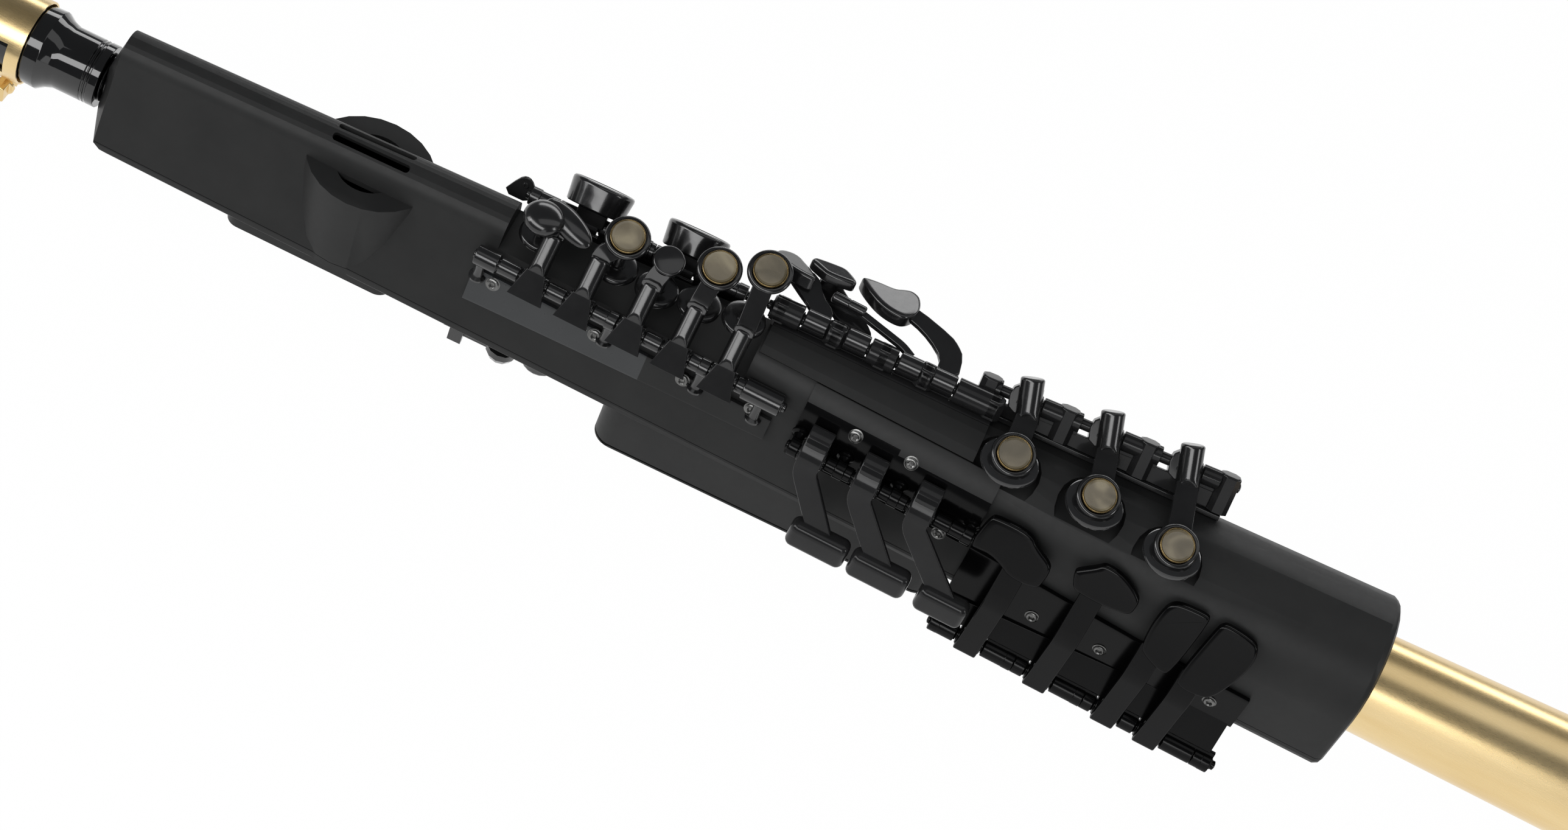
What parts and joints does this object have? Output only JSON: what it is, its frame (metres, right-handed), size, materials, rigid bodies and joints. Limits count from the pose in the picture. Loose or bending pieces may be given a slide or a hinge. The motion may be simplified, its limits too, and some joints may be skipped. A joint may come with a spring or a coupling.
{
  "type": "digital wind controller",
  "caption": "Straight saxophone-shaped electronic wind instrument with a black satin body, gloss finger keys, pearl touches, a gold ligature and a gold bell.",
  "frame": {"origin": "under the middle of the bounding box, on the plane that the instrument lies on", "axes": "+X runs from the mouthpiece to the bell, +Z is the front with the keys, so it lies on its back, and +Y is the left palm side"},
  "size_m": [0.8266, 0.1025, 0.1108],
  "materials": {
    "casing_satin": "satin black moulded",
    "gloss_black": "high gloss black",
    "key_gloss": "mirror gloss black plating look",
    "lacquered_brass": "gold lacquer",
    "pearl": "grey-beige mother-of-pearl look",
    "reed": "cane colour",
    "board": "circuit board",
    "steel": "brushed",
    "battery": "blue wrap"
  },
  "bodies": {
    "instrument": {"front_casing": "casing_satin", "rear_casing": "casing_satin", "neck_tube": "gloss_black", "mouthpiece": "gloss_black", "reed": "reed", "ligature": "lacquered_brass", "bell": "lacquered_brass", "left_plate": "gloss_black", "right_plate": "gloss_black", "table_plate": "gloss_black", "side_plate": "gloss_black", "low_plate": "gloss_black", "palm_plate": "gloss_black", "battery_housing": "casing_satin", "battery_cover": "casing_satin", "battery_pack": "battery", "thumb_rest": "gloss_black", "octave_bracket": "key_gloss", "strap_eye": "key_gloss", "circuit_board": "board", "speaker_1": "steel", "speaker_2": "steel", "bell_exciter": "steel", "breath_sensor": "gloss_black"},
    "left_key_1": {"left_key_1": "key_gloss"},
    "left_key_2": {"left_key_2": "key_gloss", "left_pearl_2": "pearl"},
    "left_key_3": {"left_key_3": "key_gloss"},
    "left_key_4": {"left_key_4": "key_gloss", "left_pearl_4": "pearl"},
    "left_key_5": {"left_key_5": "key_gloss", "left_pearl_5": "pearl"},
    "right_key_1": {"right_key_1": "key_gloss", "right_pearl_1": "pearl"},
    "right_key_2": {"right_key_2": "key_gloss", "right_pearl_2": "pearl"},
    "right_key_3": {"right_key_3": "key_gloss", "right_pearl_3": "pearl"},
    "table_key_1": {"table_key_1": "key_gloss"},
    "table_key_2": {"table_key_2": "key_gloss"},
    "table_key_3": {"table_key_3": "key_gloss"},
    "table_key_4": {"table_key_4": "key_gloss"},
    "side_key_1": {"side_key_1": "key_gloss"},
    "side_key_2": {"side_key_2": "key_gloss"},
    "side_key_3": {"side_key_3": "key_gloss"},
    "low_key_1": {"low_key_1": "key_gloss"},
    "low_key_2": {"low_key_2": "key_gloss"},
    "low_key_3": {"low_key_3": "key_gloss"},
    "low_key_4": {"low_key_4": "key_gloss"},
    "palm_key_1": {"palm_key_1": "key_gloss"},
    "palm_key_2": {"palm_key_2": "key_gloss"},
    "octave_key": {"octave_key": "gloss_black"},
    "ligature_screw_1": {"ligature_screw_1": "lacquered_brass"},
    "ligature_screw_2": {"ligature_screw_2": "lacquered_brass"},
    "button_1": {"button_1": "gloss_black"},
    "button_2": {"button_2": "gloss_black"},
    "button_3": {"button_3": "gloss_black"},
    "dial": {"dial": "gloss_black"},
    "thumb_hook": {"thumb_hook": "gloss_black"},
    "strap_ring": {"strap_ring": "steel"}
  },
  "joints": [
    {"name": "left_key_1_press", "type": "hinge", "parent": "instrument", "child": "left_key_1", "pos_m": [-0.12611, -0.01951, 0.07408], "axis": [-0.9997, 0.0248, -0.0029], "range_deg": [0, 4], "stiffness_Nm_per_rad": 0.15, "springref_deg": -5.73},
    {"name": "left_key_2_press", "type": "hinge", "parent": "instrument", "child": "left_key_2", "pos_m": [-0.10551, -0.02002, 0.07414], "axis": [-0.9997, 0.0248, -0.0029], "range_deg": [0, 4], "stiffness_Nm_per_rad": 0.15, "springref_deg": -5.73},
    {"name": "left_key_3_press", "type": "hinge", "parent": "instrument", "child": "left_key_3", "pos_m": [-0.08252, -0.02059, 0.0742], "axis": [-0.9997, 0.0248, -0.0029], "range_deg": [0, 4], "stiffness_Nm_per_rad": 0.15, "springref_deg": -5.73},
    {"name": "left_key_4_press", "type": "hinge", "parent": "instrument", "child": "left_key_4", "pos_m": [-0.06233, -0.02109, 0.07426], "axis": [-0.9997, 0.0248, -0.0029], "range_deg": [0, 4], "stiffness_Nm_per_rad": 0.15, "springref_deg": -5.73},
    {"name": "left_key_5_press", "type": "hinge", "parent": "instrument", "child": "left_key_5", "pos_m": [-0.04133, -0.02161, 0.07432], "axis": [-0.9997, 0.0248, -0.0029], "range_deg": [0, 4], "stiffness_Nm_per_rad": 0.15, "springref_deg": -5.73},
    {"name": "right_key_1_press", "type": "hinge", "parent": "instrument", "child": "right_key_1", "pos_m": [0.07446, 0.02056, 0.09362], "axis": [0.998, 0.0629, 0.0108], "range_deg": [0, 3], "stiffness_Nm_per_rad": 0.15, "springref_deg": -5.73},
    {"name": "right_key_2_press", "type": "hinge", "parent": "instrument", "child": "right_key_2", "pos_m": [0.10959, 0.02278, 0.09399], "axis": [0.998, 0.0629, 0.0108], "range_deg": [0, 3], "stiffness_Nm_per_rad": 0.15, "springref_deg": -5.73},
    {"name": "right_key_3_press", "type": "hinge", "parent": "instrument", "child": "right_key_3", "pos_m": [0.14452, 0.02498, 0.09437], "axis": [0.998, 0.0629, 0.0108], "range_deg": [0, 3], "stiffness_Nm_per_rad": 0.15, "springref_deg": -5.73},
    {"name": "table_key_1_press", "type": "hinge", "parent": "instrument", "child": "table_key_1", "pos_m": [-0.01681, 0.00914, 0.09214], "axis": [-0.9998, -0.0218, -0.002], "range_deg": [0, 4], "stiffness_Nm_per_rad": 0.15, "springref_deg": -5.73},
    {"name": "table_key_2_press", "type": "hinge", "parent": "instrument", "child": "table_key_2", "pos_m": [0.00129, 0.00953, 0.09218], "axis": [-0.9998, -0.0218, -0.002], "range_deg": [0, 4], "stiffness_Nm_per_rad": 0.15, "springref_deg": -5.73},
    {"name": "table_key_3_press", "type": "hinge", "parent": "instrument", "child": "table_key_3", "pos_m": [0.02468, 0.01004, 0.09222], "axis": [-0.9998, -0.0218, -0.002], "range_deg": [0, 4], "stiffness_Nm_per_rad": 0.15, "springref_deg": -5.73},
    {"name": "table_key_4_press", "type": "hinge", "parent": "instrument", "child": "table_key_4", "pos_m": [0.03968, 0.01037, 0.09225], "axis": [-0.9998, -0.0218, -0.002], "range_deg": [0, 4], "stiffness_Nm_per_rad": 0.15, "springref_deg": -5.73},
    {"name": "side_key_1_press", "type": "hinge", "parent": "instrument", "child": "side_key_1", "pos_m": [0.0047, -0.03093, 0.06494], "axis": [0.9997, -0.0244, -0.0061], "range_deg": [0, 4], "stiffness_Nm_per_rad": 0.15, "springref_deg": -5.73},
    {"name": "side_key_2_press", "type": "hinge", "parent": "instrument", "child": "side_key_2", "pos_m": [0.02899, -0.03152, 0.06479], "axis": [0.9997, -0.0244, -0.0061], "range_deg": [0, 4], "stiffness_Nm_per_rad": 0.15, "springref_deg": -5.73},
    {"name": "side_key_3_press", "type": "hinge", "parent": "instrument", "child": "side_key_3", "pos_m": [0.05368, -0.03212, 0.06464], "axis": [0.9997, -0.0244, -0.0061], "range_deg": [0, 4], "stiffness_Nm_per_rad": 0.15, "springref_deg": -5.73},
    {"name": "low_key_1_press", "type": "hinge", "parent": "instrument", "child": "low_key_1", "pos_m": [0.09669, -0.0383, 0.01113], "axis": [-0.9995, 0.0231, 0.0208], "range_deg": [0, 3], "stiffness_Nm_per_rad": 0.15, "springref_deg": -5.73},
    {"name": "low_key_2_press", "type": "hinge", "parent": "instrument", "child": "low_key_2", "pos_m": [0.12868, -0.03904, 0.01046], "axis": [-0.9995, 0.0231, 0.0208], "range_deg": [0, 3], "stiffness_Nm_per_rad": 0.15, "springref_deg": -5.73},
    {"name": "low_key_3_press", "type": "hinge", "parent": "instrument", "child": "low_key_3", "pos_m": [0.16016, -0.03976, 0.00981], "axis": [-0.9995, 0.0231, 0.0208], "range_deg": [0, 3], "stiffness_Nm_per_rad": 0.15, "springref_deg": -5.73},
    {"name": "low_key_4_press", "type": "hinge", "parent": "instrument", "child": "low_key_4", "pos_m": [0.17965, -0.04021, 0.0094], "axis": [-0.9995, 0.0231, 0.0208], "range_deg": [0, 3], "stiffness_Nm_per_rad": 0.15, "springref_deg": -5.73},
    {"name": "palm_key_1_press", "type": "hinge", "parent": "instrument", "child": "palm_key_1", "pos_m": [-0.1183, 0.02173, 0.075], "axis": [-0.9999, -0.0153, 0], "range_deg": [0, 4], "stiffness_Nm_per_rad": 0.15, "springref_deg": -5.73},
    {"name": "palm_key_2_press", "type": "hinge", "parent": "instrument", "child": "palm_key_2", "pos_m": [-0.07531, 0.02239, 0.075], "axis": [-0.9999, -0.0153, 0], "range_deg": [0, 4], "stiffness_Nm_per_rad": 0.15, "springref_deg": -5.73},
    {"name": "octave_key_press", "type": "hinge", "parent": "instrument", "child": "octave_key", "pos_m": [-0.1493, -0.01429, 0.0224], "axis": [0, -1, 0], "range_deg": [0, 4], "stiffness_Nm_per_rad": 0.15, "springref_deg": -5.73},
    {"name": "ligature_screw_1_turn", "type": "hinge", "parent": "instrument", "child": "ligature_screw_1", "pos_m": [-0.3623, 0.00032, 0.02905], "axis": [0, 1, 0], "continuous": true},
    {"name": "ligature_screw_2_turn", "type": "hinge", "parent": "instrument", "child": "ligature_screw_2", "pos_m": [-0.3773, 0.00032, 0.02905], "axis": [0, 1, 0], "continuous": true},
    {"name": "button_1_press", "type": "slide", "parent": "instrument", "child": "button_1", "axis": [0, 0, 1], "range_m": [0, 0.0008], "stiffness_N_per_m": 800, "springref_m": -0.0008},
    {"name": "button_2_press", "type": "slide", "parent": "instrument", "child": "button_2", "axis": [0, 0, 1], "range_m": [0, 0.0008], "stiffness_N_per_m": 800, "springref_m": -0.0008},
    {"name": "button_3_press", "type": "slide", "parent": "instrument", "child": "button_3", "axis": [0, 0, 1], "range_m": [0, 0.0008], "stiffness_N_per_m": 800, "springref_m": -0.0008},
    {"name": "dial_turn", "type": "hinge", "parent": "instrument", "child": "dial", "pos_m": [-0.2013, 0.00032, 0.02259], "axis": [0, 0, 1], "range_deg": [-150, 150]},
    {"name": "thumb_hook_slide", "type": "slide", "parent": "instrument", "child": "thumb_hook", "axis": [1, 0, 0], "range_m": [-0.007, 0.007]},
    {"name": "strap_ring_swing", "type": "hinge", "parent": "instrument", "child": "strap_ring", "pos_m": [-0.0953, 0.00032, 0.02247], "axis": [0, 1, 0], "range_deg": [-40, 40]}
  ]
}
